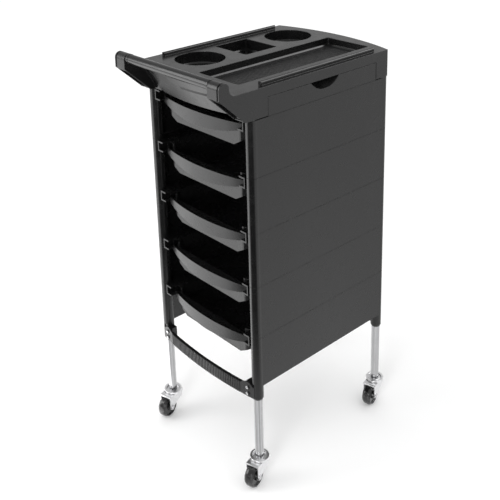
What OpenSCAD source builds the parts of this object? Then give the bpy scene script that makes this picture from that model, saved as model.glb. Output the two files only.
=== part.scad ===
/* [Frame] */
// Distance between the left and right leg tubes
leg_span_x = 291; // [260:1:330]
// Distance between the front and rear leg tubes
leg_span_y = 363; // [340:1:400]
// Outer diameter of the leg tubes
tube_d = 18; // [16:0.5:19]
// Outer diameter of the corner sleeves on the side panels
sleeve_d = 23; // [22:0.5:24]

/* [Tiers] */
// Height of one tier, from seam to seam
tier_h = 112; // [104:1:124]
// Height of the lowest seam above the floor
base_z = 222; // [200:1:250]
// Depth of a tray body under its front lip
tray_depth = 50; // [35:1:55]
// How far the lip of a tray bows out in front
lip_bow = 15; // [8:1:18]

/* [Top] */
// Height of the top tray's sides
top_h = 56; // [52:1:70]
// How far the rear edge of the top tray bows out
rear_bow = 25; // [10:1:26]
// Diameter of the two cup wells
cup_d = 103; // [70:1:104]
// Depth of the cup wells
cup_depth = 25; // [15:1:28]
// Height of the side drawer's front
drawer_h = 34; // [30:1:35]
// Reach of the handle in front of the leg tubes
handle_reach = 71.5; // [66:0.5:80]

/* [Casters] */
// Diameter of a caster wheel
wheel_d = 47; // [40:1:50]
// Width of a caster wheel
wheel_w = 20; // [16:1:22]
// Distance from the swivel axis back to the wheel axle
trail = 23; // [18:1:25]
// Angle at which the casters stand
caster_turn = 15; // [0:1:45]

/* [Hidden] */
$fn = 64;
slip = 0.1;
wall = 3;
over = 1;

tiers = 5;
corners = [[-1, -1], [1, -1], [-1, 1], [1, 1]];
leg_x = leg_span_x / 2;
leg_y = leg_span_y / 2;
tube_r = tube_d / 2;
tube_wall = 1.5;
tube_ri = tube_r - tube_wall;
sleeve_r = sleeve_d / 2;
tube_bottom = wheel_d + 8;
seat_depth = 22;

// Side panels: one moulding per tier and side
seam_gap = 0.6;
skin_out = leg_x + sleeve_r - 0.4;
skin_t = 4;
skin_in = skin_out - skin_t;
rail_low = 87;
rail_h = 22;
rail_t = 3;
rail_tip_x = leg_x - 27.5;
rail_web_out = leg_x - sleeve_r;
rail_web_in = rail_web_out - 2.5;
rail_front_y = -leg_y - 9.5;
rail_rear_y = leg_y - 4;
stop_y = leg_y - 9;
foot_drop = 29;
foot_cone = 4;
skin_lift = 2.5;
ear_in = rail_web_out - 12;
ear_front_y = -leg_y - tube_r;
ear_depth = 12.5;
ear_low = base_z - 24;
ear_top = base_z + 4;

// Trays
tray_play = 0.3;
body_x = rail_tip_x - 1.5;
tray_wall = 2.5;
bead_x = rail_web_in - 0.7;
tray_front = -leg_y + 8;
tray_rear = stop_y - 0.5;
tray_bend = 17;
tray_chamfer = 29.5;
lip_top = 95.5;
lip_low_end = 12.5;
lip_low_mid = 29;
lip_t = 2.5;
lip_half = rail_tip_x - 0.4;
lip_tip_y = -leg_y + 2;
tray_corner = 14;

// Top tray, side drawer and handle
top_gap = 2;
top_low = base_z + tiers * tier_h + top_gap;
deck_z = top_low + top_h;
side_x = leg_x + 12.5;
arm_w = 32;
arm_in = side_x - arm_w;
arm_r = 11.5;
arm_dip_r = 14;
arm_low_z = deck_z - 2.5;
arm_foot_y = -leg_y - 24.5;
groove_w = 3;
groove_in = side_x - 6;
pocket_top = arm_low_z - wall;
rear_y = leg_y + 5;
rear_r = (side_x * side_x + rear_bow * rear_bow) / (2 * rear_bow);
handle_y = -leg_y - handle_reach;
arm_z = deck_z + 16;
handle_z = deck_z + 18;
// The modules are drawn with the legs centred on Y = 0; this moves the whole box's centre there
shift_y = (-handle_y + arm_r - rear_y - rear_bow) / 2;
grip_r = 9.4;
collar_w = 6;
collar_gap = 1.5;
collar_r = 10;
collar_bore = 8;
spigot_r = 6.5;
spigot_len = 10;
hood_r = 487;
hood_low_y = -leg_y - 21.5;
hood_lean = 34.5;
hood_t = 2.5;
well_x = -leg_x + 71;
well_mid_y = 6.5;
well_step_y = 124;
square_w = 98;
square_d = 88;
long_x0 = 1;
long_x1 = 115;
long_y0 = -leg_y - 1.5;
long_y1 = leg_y - 3.5;
long_depth = 17;
cove = 3;
bead_rail_w = 8;
bead_rail_h = 8;
bead_rail_x = leg_x - 1.5;
bead_rail_y0 = -leg_y + 22;
bead_rail_y1 = leg_y - 24;
drawer_half = 150;
drawer_gap = 1;
drawer_top = top_low + drawer_gap + drawer_h;
drawer_back_x = 12;
drawer_wall = 2;
guide_y = drawer_half - 2;
guide_ledge = 7;
guide_t = 3;
scoop_half = 39;
scoop_drop = 19;
scoop_ball = 54;
scoop_pocket = 28;

// Crossbars
bar_low = base_z - 26;
bar_h = 25;
bar_half = leg_x + 2;
bar_bow = 11;
bar_t = 4;
bar_back_y = -leg_y - tube_r - slip;
bar_stand_off = 0.6;
bar_face_y = leg_y + sleeve_r + bar_stand_off + bar_bow;
bar_r = (bar_half * bar_half + bar_bow * bar_bow) / (2 * bar_bow);
bar_rib_half = 110;
bar_rib_pitch = 5;
bar_rib_t = 1;
bar_flange = 6.5;
end_rise = 7.5;
end_in = ear_in - 10;
end_ramp = 15;
end_out = leg_x - 11.5;
screw_x = leg_x - 14.5;
screw_r = 1.9;
screw_head_r = 3.2;
screw_zs = [base_z - 19, base_z - 5];
pad_r = 4.8;

// Casters
wheel_r = wheel_d / 2;
axle_r = 3;
axle_head_r = 5.5;
axle_head_t = 1.5;
fork_t = 2;
fork_in = wheel_w / 2 + 2.5;
fork_out = fork_in + fork_t;
fork_low = wheel_d + 2;
fork_top = fork_low + fork_t;
fork_front = -trail - 6;
fork_lip = 1.5;
fork_tip_r = 6;
cup_r = 19.5;
cup_wall = 4.2;
cup_top = fork_top + 4.6;
stem_r = 5;
stem_head_r = 7.5;
stem_collar_r = 8.5;
stem_top = tube_bottom + 42;

function arc(cx, cy, r, a0, a1, n = 6) =
    [for (i = [0 : n]) let (a = a0 + (a1 - a0) * i / n) [cx + r * cos(a), cy + r * sin(a)]];
function round_box(x0, x1, y0, y1, r) = concat(
    arc(x1 - r, y1 - r, r, 0, 90), arc(x0 + r, y1 - r, r, 90, 180),
    arc(x0 + r, y0 + r, r, 180, 270), arc(x1 - r, y0 + r, r, 270, 360));
function tier_z(tier) = base_z + (tiers - tier) * tier_h;

module at_side(side) { mirror([side < 0 ? 1 : 0, 0, 0]) children(); }
module at_end(end) { mirror([0, end > 0 ? 1 : 0, 0]) children(); }
module box(x0, x1, y0, y1, z0, z1) {
    translate([x0, y0, z0]) cube([x1 - x0, y1 - y0, z1 - z0]);
}
// A plate drawn in the YZ plane and extruded along X
module yz_plate(x0, x1) {
    translate([x0, 0, 0]) rotate([90, 0, 90]) linear_extrude(x1 - x0) children();
}
// A plate drawn in the XZ plane and extruded along Y
module xz_plate(y0, y1) {
    translate([0, y1, 0]) rotate([90, 0, 0]) linear_extrude(y1 - y0) children();
}

// ---- Side panels -------------------------------------------------------

module sleeve(z0, z1) {
    translate([0, 0, z0]) cylinder(r = sleeve_r, h = z1 - z0);
}
module lowest_sleeve(z0) {
    sleeve_foot = z0 - foot_drop;
    sleeve(sleeve_foot + foot_cone, z0 + over);
    translate([0, 0, sleeve_foot]) cylinder(r1 = sleeve_r - 1.5, r2 = sleeve_r, h = foot_cone);
}
module channel_rail(z0) {
    low = z0 + rail_low;
    high = low + rail_h;
    outer_y = leg_y - sleeve_r / 2;
    box(rail_tip_x, rail_web_out, rail_front_y, rail_rear_y, low, low + rail_t);
    box(rail_tip_x, rail_web_out, rail_front_y, rail_rear_y, high - rail_t, high);
    box(rail_web_in, rail_web_out, rail_front_y, rail_rear_y, low, high);
    box(rail_web_in, skin_in + over, -outer_y, outer_y, low, low + rail_t);
    box(rail_web_in, skin_in + over, -outer_y, outer_y, high - rail_t, high);
    box(rail_tip_x, rail_web_out, stop_y, rail_rear_y, low, high);
}
module crossbar_ear() {
    box(ear_in, leg_x - tube_r, ear_front_y, ear_front_y + ear_depth, ear_low, ear_top);
}
module side_panel(side, tier) {
    z0 = tier_z(tier);
    lowest = tier == tiers;
    top = z0 + tier_h - seam_gap;
    color("dimgray") at_side(side) difference() {
        union() {
            box(skin_in, skin_out, -leg_y, leg_y, lowest ? z0 + skin_lift : z0, top);
            for (end = [-1, 1]) translate([leg_x, end * leg_y, 0]) sleeve(z0, top);
            channel_rail(z0);
            if (lowest) for (end = [-1, 1]) {
                translate([leg_x, end * leg_y, 0]) lowest_sleeve(z0);
                at_end(end) crossbar_ear();
            }
        }
        for (end = [-1, 1]) {
            translate([leg_x, end * leg_y, z0 - foot_drop - over])
                cylinder(r = tube_r + slip, h = tier_h + foot_drop + 2 * over);
            if (lowest) at_end(end) {
                crossbar_holes(screw_r + slip);
                crossbar_seat();
            }
        }
    }
}

// ---- Trays -------------------------------------------------------------

// Body of a tray: upright sides with a broad chamfer down to a narrower floor
module tray_shell(inset, z0, z1) {
    half = body_x - inset;
    floor_half = half - tray_chamfer;
    bend_z = z0 + tray_bend - inset / 2;
    intersection() {
        translate([0, 0, z0]) linear_extrude(z1 - z0)
            polygon(round_box(-half, half, tray_front + inset, tray_rear - inset, tray_corner - inset));
        xz_plate(tray_front, tray_rear) polygon([
            [half, z1], [half, bend_z], [floor_half, z0],
            [-floor_half, z0], [-half, bend_z], [-half, z1]]);
    }
}
// Outline of the crescent lip, seen from the front
function lip_outline(n = 20) = concat(
    [[lip_half, lip_top], [-lip_half, lip_top]],
    [for (i = [0 : n]) let (t = -1 + 2 * i / n)
        [t * lip_half, lip_top - lip_low_end - (lip_low_mid - lip_low_end) * (1 - t * t)]]);
module lip_band(outer, inner) {
    lip_r = (lip_half * lip_half + lip_bow * lip_bow) / (2 * lip_bow);
    translate([0, lip_tip_y - lip_bow + lip_r, 0]) difference() {
        cylinder(r = lip_r - outer, h = tier_h, $fn = 96);
        translate([0, 0, -over]) cylinder(r = lip_r - inner, h = tier_h + 2 * over, $fn = 96);
    }
}
module tray(tier) {
    z0 = tier_z(tier);
    bead_low = rail_low + rail_t + tray_play;
    bead_top = rail_low + rail_h - rail_t - 2 * tray_play;
    body_low = lip_top - tray_depth;
    color("black") translate([0, 0, z0]) {
        difference() {
            tray_shell(0, body_low, bead_top);
            tray_shell(tray_wall, body_low + tray_wall, bead_top + 2 * over);
            box(-body_x + tray_corner, body_x - tray_corner, tray_front - over, tray_front + tray_corner,
                lip_top - 2 * tray_wall, tier_h);
        }
        for (side = [-1, 1]) at_side(side) {
            box(body_x - 1, bead_x, tray_front + 4, tray_rear - tray_corner, bead_top - tray_wall, bead_top);
            box(bead_x - tray_wall, bead_x, tray_front + 4, tray_rear - tray_corner, bead_low, bead_top);
        }
        intersection() {
            lip_band(0, lip_t);
            xz_plate(-leg_y - lip_bow - over, tray_front) polygon(lip_outline());
        }
        intersection() {
            lip_band(lip_t / 2, lip_half);
            box(-lip_half, lip_half, -leg_y - lip_bow, tray_front + tray_wall / 2,
                lip_top - 2 * tray_wall, lip_top - tray_wall);
        }
    }
}

// ---- Top tray ----------------------------------------------------------

module top_outline(inset) {
    lean_r = hood_r + hood_lean + hood_t - inset;
    intersection() {
        translate([-side_x + inset, -leg_y - 60]) square([2 * (side_x - inset), leg_span_y + 120]);
        translate([0, rear_y + rear_bow - rear_r]) circle(r = rear_r - inset, $fn = 128);
        translate([0, hood_low_y + hood_r]) circle(r = lean_r, $fn = 128);
    }
}
// Cone-shaped hood under the handle, between the two arms
module hood(inset, rise) {
    intersection() {
        translate([0, hood_low_y + hood_r, top_low]) rotate_extrude($fn = 128)
            polygon([[hood_r - 40, -over], [hood_r + hood_t - inset, -over],
                [hood_r + hood_lean + hood_t - inset, rise], [hood_r - 40, rise]]);
        box(-arm_in - over, arm_in + over, -leg_y - 80, -leg_y + 20, top_low, deck_z);
    }
}
// Side view of a handle arm: a round nose with an upright front, a straight lower edge and a dip behind
function arm_outline(inset) = concat(
    arc(handle_y, arm_z, arm_r - inset, 0, 180, 16),
    [[handle_y - arm_r + inset, arm_low_z], [arm_foot_y, top_low], [-leg_y, top_low], [-leg_y, deck_z]],
    arc(handle_y + arm_r + arm_dip_r, deck_z + arm_dip_r, arm_dip_r + inset, 270, 180, 8));
// Narrow groove around the nose, between the arm's cheek and its inner block
module arm_groove() {
    yz_plate(groove_in, groove_in + groove_w) difference() {
        translate([handle_y - arm_r - over, arm_low_z])
            square([2 * arm_r + arm_dip_r / 2 + over, arm_z + arm_r + over - arm_low_z]);
        polygon(arm_outline(groove_w));
    }
}
// Hollow of the arm, open along its slanted lower edge
module arm_pocket() {
    pocket_y0 = handle_y - arm_r + 2 * wall;
    pocket_y1 = arm_foot_y + wall / 2;
    yz_plate(arm_in + wall, side_x - wall) polygon([
        [pocket_y0, pocket_top], [pocket_y1, pocket_top],
        [pocket_y1, top_low - over], [pocket_y0, pocket_top - 3 * wall]]);
}
module arm(side) {
    at_side(side) yz_plate(arm_in, side_x) polygon(arm_outline(0));
}
module tube_seat() {
    translate([0, 0, top_low]) cylinder(r = sleeve_r + 0.6, h = seat_depth + wall);
}
module well_cup(r, depth) {
    translate([0, 0, deck_z - depth - wall]) cylinder(r = r + wall, h = depth + wall);
}
module well_box(x0, x1, y0, y1, depth, grow, top) {
    translate([0, 0, deck_z - depth - (grow > 0 ? wall - 1 : 0)])
        linear_extrude(depth + (grow > 0 ? wall - 1 : 0) + top)
        polygon(round_box(x0 - grow, x1 + grow, y0 - grow, y1 + grow, 5 + grow));
}
// Slanted strips where the floor of a square-cornered well meets its walls
module well_coves(x0, x1, y0, y1, depth) {
    low = deck_z - depth - over;
    reach = cove + 2 * over;
    xz_plate(y0 - over, y1 + over) {
        polygon([[x0 - over, low], [x0 - over + reach, low], [x0 - over, low + reach]]);
        polygon([[x1 + over, low], [x1 + over, low + reach], [x1 + over - reach, low]]);
    }
    yz_plate(x0 - over, x1 + over) {
        polygon([[y0 - over, low], [y0 - over + reach, low], [y0 - over, low + reach]]);
        polygon([[y1 + over, low], [y1 + over, low + reach], [y1 + over - reach, low]]);
    }
}
module drawer_guides() {
    ledge_z = drawer_top - 9;
    for (end = [-1, 1]) at_end(end) {
        box(drawer_back_x, side_x - wall / 2, -guide_y - guide_t, -guide_y, ledge_z, deck_z - over);
        box(drawer_back_x, side_x - wall - 2, -guide_y - over, -guide_y + guide_ledge,
            ledge_z, ledge_z + guide_t);
    }
    box(drawer_back_x - 6, drawer_back_x - 3, -guide_y, guide_y, ledge_z, deck_z - over);
}
// Rail with a round top and round ends
module deck_rail(side) {
    crown_r = bead_rail_w / 2 + 0.3;
    at_side(side) intersection() {
        translate([0, 0, deck_z - over]) linear_extrude(bead_rail_h + over)
            polygon(round_box(bead_rail_x - bead_rail_w / 2, bead_rail_x + bead_rail_w / 2,
                bead_rail_y0, bead_rail_y1, bead_rail_w / 2 - 0.05));
        xz_plate(bead_rail_y0 - over, bead_rail_y1 + over)
            translate([bead_rail_x, deck_z + bead_rail_h - crown_r]) {
                circle(r = crown_r, $fn = 64);
                translate([-bead_rail_w, -bead_rail_h]) square([2 * bead_rail_w, bead_rail_h]);
            }
    }
}
module floor_ribs() {
    rib_pitch = 6;
    rib_inset = 14;
    count = floor((long_y1 - long_y0 - 2 * rib_inset) / rib_pitch);
    for (i = [0 : count]) {
        y = long_y0 + rib_inset + i * rib_pitch;
        box(long_x0 + rib_inset, long_x1 - rib_inset, y, y + rib_pitch / 3, deck_z - long_depth - 0.5,
            deck_z - long_depth + 0.8);
    }
}
module top_tray() {
    square_x0 = well_x - square_w / 2;
    square_y0 = well_mid_y - square_d / 2;
    color([0.16, 0.16, 0.17]) difference() {
        union() {
            difference() {
                intersection() {
                    translate([0, 0, top_low]) linear_extrude(top_h) top_outline(0);
                    union() {
                        box(-side_x - over, side_x + over, -leg_y - 14, leg_y + 60, top_low, deck_z);
                        hood(0, top_h);
                    }
                }
                intersection() {
                    translate([0, 0, top_low - over]) linear_extrude(top_h + over - wall) top_outline(wall);
                    union() {
                        box(-side_x, side_x, -leg_y - 11, leg_y + 60, top_low - over, deck_z);
                        translate([0, 0, -wall]) hood(wall + hood_lean * wall / top_h, top_h);
                    }
                }
            }
            for (side = [-1, 1]) {
                arm(side);
                deck_rail(side);
                for (end = [-1, 1]) translate([side * leg_x, end * leg_y, 0]) tube_seat();
            }
            for (end = [-1, 1]) translate([well_x, well_mid_y + end * well_step_y, 0])
                well_cup(cup_d / 2, cup_depth);
            well_box(square_x0, square_x0 + square_w, square_y0, square_y0 + square_d, cup_depth, wall, 0);
            well_box(long_x0, long_x1, long_y0, long_y1, long_depth, wall, 0);
            drawer_guides();
        }
        for (end = [-1, 1]) translate([well_x, well_mid_y + end * well_step_y, deck_z - cup_depth]) {
            cylinder(r1 = cup_d / 2 - cove, r2 = cup_d / 2, h = cove);
            translate([0, 0, cove]) cylinder(r = cup_d / 2, h = cup_depth - cove + over);
        }
        well_box(square_x0, square_x0 + square_w, square_y0, square_y0 + square_d, cup_depth, 0, over);
        well_box(long_x0, long_x1, long_y0, long_y1, long_depth, 0, over);
        box(side_x - 2 * wall, side_x + over, -drawer_half - drawer_gap, drawer_half + drawer_gap,
            top_low - over, drawer_top + drawer_gap);
        for (side = [-1, 1]) {
            for (end = [-1, 1]) translate([side * leg_x, end * leg_y, top_low - over])
                cylinder(r = tube_r + slip, h = seat_depth + over);
            at_side(side) translate([arm_in - over, handle_y, handle_z]) rotate([0, 90, 0])
                cylinder(r = spigot_r + slip, h = spigot_len + 2 * over);
            at_side(side) arm_groove();
            at_side(side) arm_pocket();
        }
    }
    color([0.16, 0.16, 0.17]) {
        floor_ribs();
        well_coves(square_x0, square_x0 + square_w, square_y0, square_y0 + square_d, cup_depth);
        well_coves(long_x0, long_x1, long_y0, long_y1, long_depth);
    }
}

module side_drawer() {
    skin_gap = 0.5;
    front_x = side_x - wall;
    box_top = drawer_top - 2.5;
    box_half = guide_y - guide_ledge - 1;
    scoop_r = (scoop_half * scoop_half + scoop_drop * scoop_drop) / (2 * scoop_drop);
    low = top_low + drawer_gap;
    color([0.14, 0.14, 0.15]) difference() {
        union() {
            box(front_x, side_x - 0.3, -drawer_half, drawer_half,
                top_low - top_gap + skin_gap, drawer_top);
            difference() {
                box(drawer_back_x, front_x + over, -box_half, box_half, low + 0.5, box_top);
                box(drawer_back_x + drawer_wall, front_x - drawer_wall, -box_half + drawer_wall,
                    box_half - drawer_wall, low + 0.5 + drawer_wall, box_top + over);
            }
            for (end = [-1, 1]) at_end(end)
                box(drawer_back_x, front_x - 3, -guide_y + 0.5, -box_half + over, box_top - 3, box_top);
            box(side_x - scoop_pocket, front_x, -scoop_half - 6, scoop_half + 6, low + 1, box_top);
        }
        translate([side_x + sqrt(scoop_ball * scoop_ball - scoop_r * scoop_r), 0,
            drawer_top - scoop_drop + scoop_r]) sphere(r = scoop_ball, $fn = 96);
    }
}

module handle_bar() {
    half = arm_in - collar_gap;
    color([0.13, 0.13, 0.14]) translate([0, handle_y, handle_z]) rotate([0, 90, 0]) {
        translate([0, 0, collar_w - half]) cylinder(r = grip_r, h = 2 * (half - collar_w));
        translate([0, 0, -half]) cylinder(r = collar_bore - slip / 2, h = 2 * half);
        translate([0, 0, -half - spigot_len]) cylinder(r = spigot_r, h = 2 * (half + spigot_len));
    }
}
// Ring on each end of the bar
module handle_collar(side) {
    edge = 0.4;
    color([0.12, 0.12, 0.13]) at_side(side)
        translate([arm_in - collar_gap - collar_w, handle_y, handle_z]) rotate([0, 90, 0]) rotate_extrude()
            polygon([[collar_bore, slip], [collar_r - edge, slip], [collar_r, slip + edge],
                [collar_r, collar_w - edge], [collar_r - edge, collar_w], [collar_bore, collar_w]]);
}

// ---- Crossbars ---------------------------------------------------------

function bar_y(x, r) = bar_r - bar_face_y - sqrt(r * r - x * x);
pad_y = bar_y(screw_x, bar_r) - 0.9;
pad_len = 3.5;
// Plans of the bowed bar: plain, and with upright ribs over the middle of its outer face
function bar_shell_plan() = let (n = 24, inner = bar_r - bar_t) concat(
    [for (i = [0 : n]) let (x = bar_half - 2 * bar_half * i / n) [x, bar_y(x, bar_r)]],
    [for (i = [0 : n]) let (x = -bar_half + 2 * bar_half * i / n) [x, bar_y(x, inner)]]);
function bar_plan() =
    let (n = floor(2 * bar_rib_half / bar_rib_pitch), r1 = bar_r + bar_rib_t, ends = 12,
        inner = bar_r - bar_t)
    concat(
        [for (i = [0 : ends]) let (x = bar_half - (bar_half - bar_rib_half - 2) * i / ends)
            [x, bar_y(x, bar_r)]],
        [for (i = [0 : n]) let (x = bar_rib_half - i * bar_rib_pitch)
            each [[x, bar_y(x, bar_r)], [x, bar_y(x, r1)],
                [x - 2, bar_y(x - 2, r1)], [x - 2, bar_y(x - 2, bar_r)]]],
        [for (i = [0 : ends]) let (x = -bar_rib_half - 4 - (bar_half - bar_rib_half - 4) * i / ends)
            [x, bar_y(x, bar_r)]],
        [for (i = [0 : 2 * ends]) let (x = -bar_half + bar_half * i / ends) [x, bar_y(x, inner)]]);
module bar_flange_plan() {
    half = ear_in - 4;
    polygon(concat(
        [for (i = [0 : 16]) let (x = half - half * i / 8) [x, bar_y(x, bar_r - 1)]],
        [for (i = [0 : 16]) let (x = -half + half * i / 8) [x, bar_y(x, bar_r - bar_flange)]]));
}
module crossbar_holes(r) {
    for (side = [-1, 1], z = screw_zs) translate([side * screw_x, -bar_face_y, z])
        rotate([-90, 0, 0]) cylinder(r = r, h = bar_bow + 22);
}
// Taller plates at the ends of a crossbar, where it is screwed to the ears
module end_plates() {
    bar_top = bar_low + bar_h;
    intersection() {
        translate([0, 0, bar_low]) linear_extrude(bar_h + end_rise) polygon(bar_shell_plan());
        for (side = [-1, 1]) at_side(side) xz_plate(-bar_face_y, -leg_y) polygon([
            [bar_half, bar_low], [end_in, bar_low], [end_in, bar_top],
            [end_in + end_ramp, bar_top + end_rise],
            [end_out, bar_top + end_rise], [bar_half, bar_top - 2]]);
    }
    for (side = [-1, 1]) at_side(side)
        box(ear_in, rail_web_out, bar_y(ear_in, bar_r) + 1, bar_back_y, bar_low, bar_top);
}
module crossbar(end) {
    color([0.15, 0.15, 0.16]) at_end(end) difference() {
        union() {
            translate([0, 0, bar_low]) linear_extrude(bar_h) polygon(bar_plan());
            for (z = [bar_low, bar_low + bar_h - rail_t])
                translate([0, 0, z]) linear_extrude(rail_t) bar_flange_plan();
            end_plates();
            for (side = [-1, 1], z = screw_zs) translate([side * screw_x, pad_y, z])
                rotate([-90, 0, 0]) cylinder(r = pad_r, h = pad_len);
        }
        crossbar_holes(screw_r + slip);
        for (side = [-1, 1]) at_side(side)
            box(ear_in - over, bar_half + over, bar_back_y, -leg_y, bar_low - over, base_z + tier_h);
    }
}
// Flat seat cut into the front of a sleeve for the end of a crossbar
module crossbar_seat() {
    box(ear_in, bar_half + slip, -leg_y - sleeve_r - over, ear_front_y,
        bar_low - slip, bar_low + bar_h + end_rise + slip);
}
module crossbar_screws() {
    head_t = 1.8;
    color("silver") for (end = [-1, 1], side = [-1, 1], z = screw_zs)
        at_end(end) translate([side * screw_x, pad_y - head_t, z]) rotate([-90, 0, 0]) difference() {
            union() {
                cylinder(r = screw_head_r, h = head_t);
                cylinder(r = screw_r, h = 20);
            }
            for (turn = [0, 90]) rotate([0, 0, turn]) translate([-1.8, -0.3, -over])
                cube([3.6, 0.6, over + 0.8]);
        }
}

// ---- Legs and casters --------------------------------------------------

module leg_tube() {
    color("lightgray") translate([0, 0, tube_bottom]) difference() {
        cylinder(r = tube_r, h = top_low + seat_depth - tube_bottom);
        translate([0, 0, -over]) cylinder(r = tube_ri, h = top_low + seat_depth);
    }
}
module stem_socket() {
    color("black") translate([0, 0, tube_bottom + over]) difference() {
        cylinder(r = tube_ri - slip / 2, h = 44);
        translate([0, 0, -over]) cylinder(r = stem_r + slip / 2, h = 44 + 2 * over);
    }
}
module caster_stem() {
    color("silver") rotate_extrude() polygon([
        [0, fork_low - 2.4], [stem_head_r - 1, fork_low - 2.4], [stem_head_r, fork_low - 1.6],
        [stem_head_r, fork_low - 0.2], [stem_r, fork_low - 0.2], [stem_r, cup_top - 1.6],
        [stem_collar_r, cup_top - 1.6], [stem_collar_r, tube_bottom - 0.1], [stem_r, tube_bottom - 0.1],
        [stem_r, stem_top - 2], [stem_r - 1, stem_top], [0, stem_top]]);
}
module ball_race() {
    color("darkgray") rotate_extrude() polygon([
        [stem_r + 1, fork_top], [cup_r - cup_wall - 0.2, fork_top],
        [cup_r - cup_wall - 0.2, fork_top + 1.6], [stem_collar_r + 1.5, cup_top - 1.8],
        [stem_r + 1, cup_top - 1.8]]);
}
// Side view of a fork arm: upright front edge, tapering rear edge, round tip at the axle
function fork_arm_outline() = concat(
    [[fork_front, fork_top], [fork_front, wheel_r + 8]],
    arc(-trail, wheel_r, fork_tip_r, 200, 350, 8),
    [[10, fork_low - 14], [cup_r - 3, fork_low - 4], [cup_r - 3, fork_top]]);
module caster_fork() {
    color("gainsboro") difference() {
        union() {
            for (side = [-1, 1]) at_side(side) yz_plate(fork_in, fork_out) polygon(fork_arm_outline());
            box(-fork_out, fork_out, fork_front, 0, fork_low, fork_top);
            box(-fork_out, fork_out, fork_front, fork_front + fork_t, fork_low - fork_lip, fork_top);
            translate([0, 0, fork_low]) cylinder(r = cup_r, h = cup_top - fork_low);
        }
        translate([0, 0, fork_top]) cylinder(r = cup_r - cup_wall, h = cup_top);
        translate([0, 0, fork_low - over]) cylinder(r = stem_r + slip, h = fork_t + 2 * over);
        translate([-fork_out - over, -trail, wheel_r]) rotate([0, 90, 0])
            cylinder(r = axle_r + slip / 2, h = 2 * (fork_out + over));
    }
}
module wheel_axle() {
    color("silver") translate([-fork_out - axle_head_t, -trail, wheel_r]) rotate([0, 90, 0]) {
        cylinder(r = axle_head_r, h = axle_head_t);
        cylinder(r = axle_r, h = 2 * (fork_out + axle_head_t));
        translate([0, 0, 2 * fork_out + axle_head_t]) cylinder(r = axle_head_r, h = axle_head_t);
    }
}
module caster_wheel() {
    half = wheel_w / 2;
    hub_r = 8;
    dish_r = wheel_r - 6;
    color("black") translate([0, -trail, wheel_r]) rotate([0, 90, 0]) rotate_extrude($fn = 96)
        polygon([
            [axle_r + slip, -half - 1.5], [hub_r, -half - 1.5], [hub_r + 1, -half + 3],
            [dish_r, -half + 3], [dish_r + 1, -half + 0.5], [wheel_r - 3, -half],
            [wheel_r - 0.6, -half + 3.5], [wheel_r, -half + 7], [wheel_r, half - 7],
            [wheel_r - 0.6, half - 3.5], [wheel_r - 3, half], [dish_r + 1, half - 0.5],
            [dish_r, half - 3], [hub_r + 1, half - 3], [hub_r, half + 1.5], [axle_r + slip, half + 1.5]]);
}
// One caster stands mirrored, so that the left and right sides reach equally far
function caster_angle(side, end) = side < 0 && end > 0 ? -caster_turn : caster_turn;
module at_leg(side, end) { translate([side * leg_x, end * leg_y, 0]) children(); }
module at_caster(side, end) { at_leg(side, end) rotate([0, 0, caster_angle(side, end)]) children(); }

translate([0, shift_y, 0]) {
    top_tray();
    side_drawer();
    handle_bar();
    handle_collar(-1);  // left_handle_collar
    handle_collar(1);  // right_handle_collar
    for (tier = [1 : tiers]) {
        side_panel(-1, tier);
        side_panel(1, tier);
        tray(tier);
    }
    crossbar(-1);  // front_crossbar
    crossbar(1);  // rear_crossbar
    crossbar_screws();
    for (corner = corners) {
        side = corner[0];
        end = corner[1];
        name = str(end < 0 ? "front_" : "rear_", side < 0 ? "left_" : "right_");
        at_leg(side, end) leg_tube();
        at_leg(side, end) stem_socket();
        at_leg(side, end) caster_stem();
        at_caster(side, end) caster_fork();
        at_caster(side, end) ball_race();
        at_caster(side, end) wheel_axle();
        at_caster(side, end) caster_wheel();
    }
}
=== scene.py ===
import math

import bpy
from mathutils import Matrix, Vector


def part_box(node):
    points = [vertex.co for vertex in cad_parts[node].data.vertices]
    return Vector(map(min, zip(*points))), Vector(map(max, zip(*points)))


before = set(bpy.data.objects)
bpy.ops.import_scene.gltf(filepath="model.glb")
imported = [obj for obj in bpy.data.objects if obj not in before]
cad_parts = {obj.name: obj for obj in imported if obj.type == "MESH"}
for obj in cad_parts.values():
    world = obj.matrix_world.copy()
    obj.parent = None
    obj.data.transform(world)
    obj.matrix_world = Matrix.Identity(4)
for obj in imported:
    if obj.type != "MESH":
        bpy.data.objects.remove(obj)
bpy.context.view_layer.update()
MM = 0.001


# ---- Node helpers -------------------------------------------------------

NOISE_RANGE = (0.3, 0.7)    # where a noise's values mostly lie
EDGE_TURN = (0.80, 0.99)    # cosine between the rounded and the flat normal: on an edge, and off it
BEVEL_SAMPLES = 6


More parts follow.
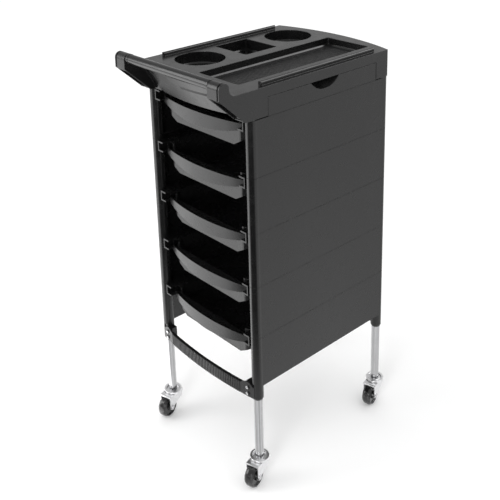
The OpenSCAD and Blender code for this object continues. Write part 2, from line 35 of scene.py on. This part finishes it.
class Finish:
    """One material and the few node recipes that all the finishes are made of."""

    def __init__(self, name):
        self.material = bpy.data.materials.new(name)
        self.material.use_nodes = True
        self.tree = self.material.node_tree
        self.surface = self.tree.nodes["Principled BSDF"]
        self.where = self.add("ShaderNodeTexCoord").outputs["Object"]

    def add(self, kind, **settings):
        node = self.tree.nodes.new(kind)
        for key, value in settings.items():
            setattr(node, key, value)
        return node

    def put(self, source, socket):
        """Links an output, or writes a plain value."""
        if isinstance(source, bpy.types.NodeSocket):
            self.tree.links.new(source, socket)
        else:
            socket.default_value = source

    def set(self, **inputs):
        for key, value in inputs.items():
            self.put(value, self.surface.inputs[key.replace("_", " ")])

    def noise(self, size, detail=2.0, stretch=(1, 1, 1), warp=0.0):
        """Cloudy pattern with features of the given size, drawn out along an axis by stretch."""
        mapping = self.add("ShaderNodeMapping")
        self.put(self.where, mapping.inputs["Vector"])
        mapping.inputs["Scale"].default_value = [1 / s for s in stretch]
        node = self.add("ShaderNodeTexNoise")
        self.put(mapping.outputs["Vector"], node.inputs["Vector"])
        node.inputs["Scale"].default_value = 1 / size
        node.inputs["Detail"].default_value = detail
        node.inputs["Distortion"].default_value = warp
        return node.outputs["Fac"]

    def span(self, value, start, end, low, high):
        """Maps start..end of a value to low..high, smoothly and clamped."""
        node = self.add("ShaderNodeMapRange", interpolation_type="SMOOTHSTEP")
        self.put(value, node.inputs["Value"])
        for key, number in zip(("From Min", "From Max", "To Min", "To Max"), (start, end, low, high)):
            node.inputs[key].default_value = number
        return node.outputs["Result"]

    def spread(self, noise, low, high):
        """Maps the range that a noise mostly stays in to low..high."""
        return self.span(noise, *NOISE_RANGE, low, high)

    def math(self, kind, a, b=0.0):
        node = self.add("ShaderNodeMath", operation=kind)
        self.put(a, node.inputs[0])
        self.put(b, node.inputs[1])
        return node.outputs[0]

    def axis(self, letter):
        node = self.add("ShaderNodeSeparateXYZ")
        self.put(self.where, node.inputs[0])
        return node.outputs[letter]

    def grey(self, value, tint=(1.0, 1.0, 1.02)):
        """A near-neutral colour of the given brightness."""
        node = self.add("ShaderNodeCombineColor")
        for socket, share in zip(node.inputs, tint):
            self.put(self.math("MULTIPLY", value, share), socket)
        return node.outputs[0]

    def soft_edges(self, radius):
        """The normal as if every edge were rounded, and a mask that is 1 along the edges."""
        bevel = self.add("ShaderNodeBevel", samples=BEVEL_SAMPLES)
        bevel.inputs["Radius"].default_value = radius
        flat = self.add("ShaderNodeNewGeometry").outputs["Normal"]
        dot = self.add("ShaderNodeVectorMath", operation="DOT_PRODUCT")
        self.put(bevel.outputs[0], dot.inputs[0])
        self.put(flat, dot.inputs[1])
        return bevel.outputs[0], self.span(dot.outputs["Value"], *EDGE_TURN, 1.0, 0.0)

    def bump(self, height, depth, normal=None):
        node = self.add("ShaderNodeBump")
        node.inputs["Strength"].default_value = 1.0
        node.inputs["Distance"].default_value = depth
        self.put(height, node.inputs["Height"])
        if normal is not None:
            self.put(normal, node.inputs["Normal"])
        return node.outputs["Normal"]


# ---- Plastics -----------------------------------------------------------

GRAIN = 0.45 * MM       # spark-eroded texture of the moulded faces
PEEL = 9 * MM           # slow waviness of moulded plastic
FLOW = 120 * MM         # clouds where the melt cooled at different speeds
SCUFF = 2.2 * MM        # width of the faint handling marks
SMEAR = 24 * MM         # patches that were wiped more or less clean
RUB_PATCH = 70 * MM     # areas that hands reach more often
WEAR_PATCH = 13 * MM    # breaks in the worn line along an edge
PEEL_DEPTH = 0.035 * MM
PLASTIC_IOR = 1.50


def plastic(name, tone, rough, grain_depth=0.010, edge=0.9, wear=1.7, flow_axis=2, extra=None):
    """Moulded black plastic: tone and rough are its mean brightness and roughness.

    grain_depth and edge are in mm, and wear is how much brighter the rubbed edges are."""
    f = Finish(name)
    stretch = [1, 1, 1]
    stretch[flow_axis] = 3
    flow = f.noise(FLOW, 3, stretch, warp=0.5)
    speck = f.noise(GRAIN * 2, 1)
    smear = f.noise(SMEAR, 5, warp=0.6)
    rub = f.noise(SCUFF, 3, (9, 1, 1), warp=0.2)
    rub_area = f.span(f.noise(RUB_PATCH, 2), 0.52, 0.72, 0, 1)
    scuffs = f.math("MULTIPLY", f.span(rub, 0.60, 0.74, 0, 1), rub_area)
    normal, edges = f.soft_edges(edge * MM)
    worn = f.math("MULTIPLY", edges, f.span(f.noise(WEAR_PATCH, 4), 0.35, 0.65, 0.35, 1))

    value = f.spread(flow, 0.88 * tone, 1.14 * tone)
    value = f.math("MULTIPLY", value, f.spread(speck, 0.93, 1.07))
    value = f.math("ADD", value, f.math("MULTIPLY", scuffs, 0.35 * tone))
    value = f.math("MULTIPLY", value, f.math("ADD", 1.0, f.math("MULTIPLY", worn, wear - 1)))
    roughness = f.spread(smear, rough - 0.035, rough + 0.045)
    roughness = f.math("ADD", roughness, f.math("MULTIPLY", scuffs, 0.08))
    roughness = f.math("ADD", roughness, f.math("MULTIPLY", worn, 0.05))

    normal = f.bump(f.noise(PEEL, 1), PEEL_DEPTH, normal)
    normal = f.bump(f.noise(GRAIN, 2), grain_depth * MM, normal)
    if extra:
        roughness = extra(f, roughness)
    f.set(Base_Color=f.grey(value), Roughness=roughness, Normal=normal, IOR=PLASTIC_IOR)
    return f.material


def matt_recess(f, roughness):
    """The ribbed floor of the long recess is duller than the deck around it."""
    inside = 1.0
    for letter, start, end in zip("XYZ", RECESS_LOW, RECESS_HIGH):
        place = f.axis(letter)
        inside = f.math("MULTIPLY", inside, f.math("GREATER_THAN", place, start))
        inside = f.math("MULTIPLY", inside, f.math("LESS_THAN", place, end))
    return f.math("ADD", roughness, f.math("MULTIPLY", inside, RECESS_DULLNESS))


def wheel_plastic():
    """Hard glossy black tyre with soft grey blotches where it has rolled."""
    f = Finish("wheel_black")
    blotch = f.span(f.noise(11 * MM, 3, warp=0.8), 0.45, 0.70, 0, 1)
    dust = f.span(f.noise(1.6 * MM, 4), 0.45, 0.75, 0, 1)
    normal, edges = f.soft_edges(1.2 * MM)
    value = f.math("ADD", 0.004, f.math("MULTIPLY", blotch, 0.028))
    value = f.math("ADD", value, f.math("MULTIPLY", dust, 0.012))
    roughness = f.math("ADD", 0.16, f.math("MULTIPLY", blotch, 0.22))
    roughness = f.math("ADD", roughness, f.math("MULTIPLY", edges, 0.06))
    normal = f.bump(f.noise(3 * MM, 3), 0.05 * MM, normal)
    f.set(Base_Color=f.grey(value), Roughness=roughness, Normal=normal, IOR=PLASTIC_IOR)
    f.set(Coat_Weight=0.3)
    return f.material


# ---- Metals -------------------------------------------------------------

def chrome():
    """Polished chrome plate on drawn tube: fine lines run along it, with a light haze."""
    f = Finish("leg_chrome")
    lines = f.noise(1.6 * MM, 3, (1, 1, 400))
    haze = f.noise(30 * MM, 5, warp=0.7)
    pits = f.span(f.noise(1.1 * MM, 2), 0.70, 0.78, 0, 1)
    tone = f.math("MULTIPLY", f.spread(haze, 0.53, 0.57), f.span(lines, 0.35, 0.65, 0.80, 1.12))
    tone = f.math("MULTIPLY", tone, f.math("SUBTRACT", 1.0, f.math("MULTIPLY", pits, 0.15)))
    roughness = f.math("ADD", f.spread(haze, 0.04, 0.08), f.math("MULTIPLY", pits, 0.2))
    normal = f.bump(lines, 0.004 * MM)
    f.set(Base_Color=f.grey(tone, (1, 1.005, 1.02)), Metallic=1.0, Roughness=roughness, Normal=normal)
    return f.material


def zinc():
    """Bright zinc on pressed steel: cloudy crystals, polished edges, and painted shade that darkens the folds
    and recesses.
    """
    f = Finish("fork_zinc")
    cloud = f.noise(5 * MM, 5, warp=0.9)
    crystal = f.noise(0.8 * MM, 3)
    normal, edges = f.soft_edges(0.7 * MM)
    # Painted shade: local ambient occlusion darkens the colour in the folds and recesses, down to 0.18 of the
    # tone
    fold_occlusion = f.add("ShaderNodeAmbientOcclusion", samples=8, only_local=True)
    fold_occlusion.inputs["Distance"].default_value = 7 * MM
    fold_shade = f.span(fold_occlusion.outputs["AO"], 0.30, 0.85, 0.18, 1)
    tone = f.math("MULTIPLY", f.spread(cloud, 0.82, 0.93), f.spread(crystal, 0.95, 1.04))
    # the painted fold shade multiplies the tone here
    tone = f.math("MULTIPLY", f.math("ADD", tone, f.math("MULTIPLY", edges, 0.08)), fold_shade)
    roughness = f.math("ADD", f.spread(cloud, 0.30, 0.44), f.math("MULTIPLY", edges, -0.06))
    normal = f.bump(crystal, 0.012 * MM, normal)
    f.set(Base_Color=f.grey(tone, (1, 1.0, 1.01)), Metallic=1.0, Roughness=roughness, Normal=normal)
    return f.material


def steel():
    """Bright turned steel of the screws, stems and axles."""
    f = Finish("pin_steel")
    cloud = f.noise(3 * MM, 4, warp=0.5)
    turned = f.noise(0.35 * MM, 2, (8, 8, 1))
    normal, edges = f.soft_edges(0.4 * MM)
    tone = f.math("ADD", f.spread(cloud, 0.60, 0.72), f.math("MULTIPLY", edges, 0.1))
    roughness = f.spread(cloud, 0.18, 0.30)
    normal = f.bump(turned, 0.006 * MM, normal)
    f.set(Base_Color=f.grey(tone), Metallic=1.0, Roughness=roughness, Normal=normal)
    return f.material


# ---- The frame's finishes -----------------------------------------------

# The long recess in the top tray: its two sides, and how far its ends and its floor lie from the tray's own
RECESS_SIDES = (2 * MM, 114 * MM)
RECESS_FRONT = 30 * MM
RECESS_REAR = 12 * MM
RECESS_FLOOR = (50 * MM, 44.1 * MM)
RECESS_DULLNESS = 0.3

deck_low, deck_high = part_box("top_tray")
RECESS_LOW = (RECESS_SIDES[0], deck_low.y + RECESS_FRONT, deck_high.z - RECESS_FLOOR[0])
RECESS_HIGH = (RECESS_SIDES[1], deck_high.y - RECESS_REAR, deck_high.z - RECESS_FLOOR[1])


def finishes():
    """Each finish with the endings of the node names that take it."""
    panels = tuple(f"_panel_{tier}" for tier in range(1, 6))
    trays = tuple(f"tray_{tier}" for tier in range(1, 6))
    return (
        (plastic("top_plastic", 0.005, 0.24, edge=1.6, extra=matt_recess), ("top_tray",)),
        (plastic("panel_plastic", 0.005, 0.24, grain_depth=0.004, edge=0.35, wear=1.2), panels),
        (plastic("tray_plastic", 0.007, 0.25, flow_axis=0), trays),
        (plastic("drawer_plastic", 0.005, 0.24, grain_depth=0.004, flow_axis=1), ("side_drawer",)),
        (plastic("bar_plastic", 0.008, 0.28, flow_axis=0, edge=0.5), ("_crossbar",)),
        (plastic("grip_plastic", 0.006, 0.16, grain_depth=0.002, flow_axis=0), ("handle_bar", "_collar")),
        (plastic("socket_nylon", 0.010, 0.45, grain_depth=0.02), ("_socket",)),
        (wheel_plastic(), ("_wheel",)),
        (chrome(), ("_tube",)),
        (zinc(), ("_fork", "_race")),
        (steel(), ("_stem", "_axle", "crossbar_screws")),
    )


def dress_frame():
    for material, endings in finishes():
        for name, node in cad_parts.items():
            if name.endswith(endings):
                for slot in node.material_slots:
                    slot.material = material


# ---- Camera -------------------------------------------------------------

CAMERA_PLACE = Vector((1192.1, -1094.06, 1291.9)) * MM
CAMERA_AZIMUTH = 48.9
CAMERA_ELEVATION = 16.63
CAMERA_ROLL = -1.7
CAMERA_LENS = 60.04
CAMERA_SHIFT = (0.0227, -0.3571)
CAMERA_MOVED = 20 * MM      # this far from its place, the camera is another view's


def add_camera():
    a, e, r = (math.radians(v) for v in (CAMERA_AZIMUTH, CAMERA_ELEVATION, CAMERA_ROLL))
    back = Vector((math.sin(a) * math.cos(e), -math.cos(a) * math.cos(e), math.sin(e)))
    level = Vector((math.cos(a), math.sin(a), 0))
    rise = back.cross(level)
    right = math.cos(r) * level + math.sin(r) * rise
    up = back.cross(right)
    data = bpy.data.cameras.new("camera")
    data.sensor_width = 36
    data.lens = CAMERA_LENS
    camera = bpy.data.objects.new("camera", data)
    bpy.context.scene.collection.objects.link(camera)
    camera.matrix_world = Matrix((right, up, back)).transposed().to_4x4()
    camera.location = CAMERA_PLACE
    data.clip_start, data.clip_end = 0.1, 50
    bpy.context.scene.camera = camera
    marker = bpy.data.objects.new("camera_place", None)
    bpy.context.scene.collection.objects.link(marker)
    marker.location = CAMERA_PLACE
    for channel, shift in zip(("shift_x", "shift_y"), CAMERA_SHIFT):
        shift_only_here(camera, marker, channel, shift)


def shift_only_here(camera, marker, channel, shift):
    """The lens shift belongs to this view: a camera that is moved elsewhere aims at the object without it."""
    curve = camera.data.driver_add(channel)
    curve.modifiers.remove(curve.modifiers[0])
    curve.driver.type = "SUM"
    distance = curve.driver.variables.new()
    distance.type = "LOC_DIFF"
    distance.targets[0].id = camera
    distance.targets[1].id = marker
    for reach, value in ((0, shift), (CAMERA_MOVED, 0)):
        curve.keyframe_points.insert(reach, value).interpolation = "CONSTANT"


# ---- Light and floor ----------------------------------------------------

FLOOR_SIZE = 30
FLOOR_WHITE = (0.99, 0.99, 0.99, 1)


def add_floor():
    bpy.ops.mesh.primitive_plane_add(size=FLOOR_SIZE)
    floor = bpy.context.object
    floor.name = "floor"
    material = bpy.data.materials.new("floor")
    material.use_nodes = True
    shader = material.node_tree.nodes["Principled BSDF"]
    shader.inputs["Base Color"].default_value = FLOOR_WHITE
    shader.inputs["Roughness"].default_value = 0.9
    shader.inputs["Specular IOR Level"].default_value = 0.0
    floor.data.materials.append(material)


def add_area(name, place, aim, size, watts, glossy_only):
    data = bpy.data.lights.new(name, "AREA")
    data.shape = "RECTANGLE"
    data.size, data.size_y = size
    data.energy = watts
    lamp = bpy.data.objects.new(name, data)
    bpy.context.scene.collection.objects.link(lamp)
    lamp.location = place
    lamp.rotation_mode = "QUATERNION"
    lamp.rotation_quaternion = (Vector(aim) - Vector(place)).to_track_quat("-Z", "Y")
    lamp.visible_diffuse = not glossy_only


# What reflections see lying on the studio floor: brightness by azimuth, which is counted in degrees from
# straight in front of the trays towards the drawer's side
FLOOR_GLOW = 0.97
SIDE_GLOW = 0.78
GLOW_STOPS = (
    (-180, FLOOR_GLOW), (-150, FLOOR_GLOW), (-125, 0.35), (-85, 0.40), (-62, 2.2), (-24, 2.2), (-12, 0.02),
    (64, 0.02), (84, FLOOR_GLOW), (131, FLOOR_GLOW), (142, SIDE_GLOW), (160, SIDE_GLOW), (180, FLOOR_GLOW))
PLAIN_GLOW = 0.86
PLAIN_REACH = (0.45, 0.80)      # how far out the plain floor gives way to the cards, from and to
CARD_NEAR = 0.25
CARD_FAR = 3.6
CARD_LIFT = 2 * MM
CARD_STEPS = 72


def add_card():
    """A ring of studio cards on the floor around the object, which only reflections can see."""
    n = CARD_STEPS
    turns = [2 * math.pi * i / n for i in range(n)]
    points = [(r * math.cos(t), r * math.sin(t), CARD_LIFT) for r in (CARD_NEAR, CARD_FAR) for t in turns]
    faces = [(i, (i + 1) % n, n + (i + 1) % n, n + i) for i in range(n)]
    mesh = bpy.data.meshes.new("cards")
    mesh.from_pydata(points, [], faces)
    card = bpy.data.objects.new("cards", mesh)
    bpy.context.scene.collection.objects.link(card)
    f = Finish("cards")
    azimuth = f.math("ARCTAN2", f.axis("X"), f.math("MULTIPLY", f.axis("Y"), -1.0))
    ramp = f.add("ShaderNodeValToRGB")
    ramp.color_ramp.interpolation = "EASE"
    f.put(f.math("ADD", f.math("DIVIDE", azimuth, 2 * math.pi), 0.5), ramp.inputs["Fac"])
    top = max(glow for _, glow in GLOW_STOPS)
    for i, (degrees, glow) in enumerate(GLOW_STOPS):
        place = degrees / 360 + 0.5
        stop = ramp.color_ramp.elements[i] if i < 2 else ramp.color_ramp.elements.new(place)
        stop.position = place
        stop.color = (glow / top, glow / top, glow / top, 1)
    distance = f.add("ShaderNodeVectorMath", operation="LENGTH")
    f.put(f.where, distance.inputs[0])
    plain = f.span(distance.outputs["Value"], *PLAIN_REACH, PLAIN_GLOW / top, 0.0)
    glow = f.math("MAXIMUM", ramp.outputs["Color"], plain)
    f.set(Base_Color=(0, 0, 0, 1), Specular_IOR_Level=0.0, Emission_Strength=top)
    f.set(Emission_Color=f.grey(glow, (1, 1, 1)))
    mesh.materials.append(f.material)
    card.visible_camera = False
    card.visible_diffuse = False
    card.visible_shadow = False


SKY = 1.05
SKY_IN_REFLECTIONS = 0.58
SOFT_BOXES = (
    # name, place, aim, size in metres, watts, seen in reflections only
    ("left_box", (-1.8, -2.2, 1.6), (0, 0, 0.5), (1.4, 2.0), 30, False),
    ("front_box", (1.25, -2.3, 1.2), (0.1, 0, 0.8), (0.7, 0.7), 20, False),
    ("rim_box", (1.3, 1.9, 2.6), (0, 0, 0.8), (2.4, 1.6), 40, True),
)


def add_light():
    """Even white surroundings, a little dimmer in reflections, and the soft boxes."""
    world = bpy.data.worlds.new("studio")
    bpy.context.scene.world = world
    world.use_nodes = True
    tree = world.node_tree
    sky = tree.nodes["Background"]
    sky.inputs["Color"].default_value = (1, 1, 1, 1)
    path = tree.nodes.new("ShaderNodeLightPath")
    level = tree.nodes.new("ShaderNodeMapRange")
    level.inputs["To Min"].default_value = SKY
    level.inputs["To Max"].default_value = SKY_IN_REFLECTIONS
    tree.links.new(path.outputs["Is Glossy Ray"], level.inputs["Value"])
    tree.links.new(level.outputs["Result"], sky.inputs["Strength"])
    for box in SOFT_BOXES:
        add_area(*box)


dress_frame()
add_floor()
add_light()
add_card()
add_camera()
bpy.context.scene.view_settings.view_transform = "Standard"
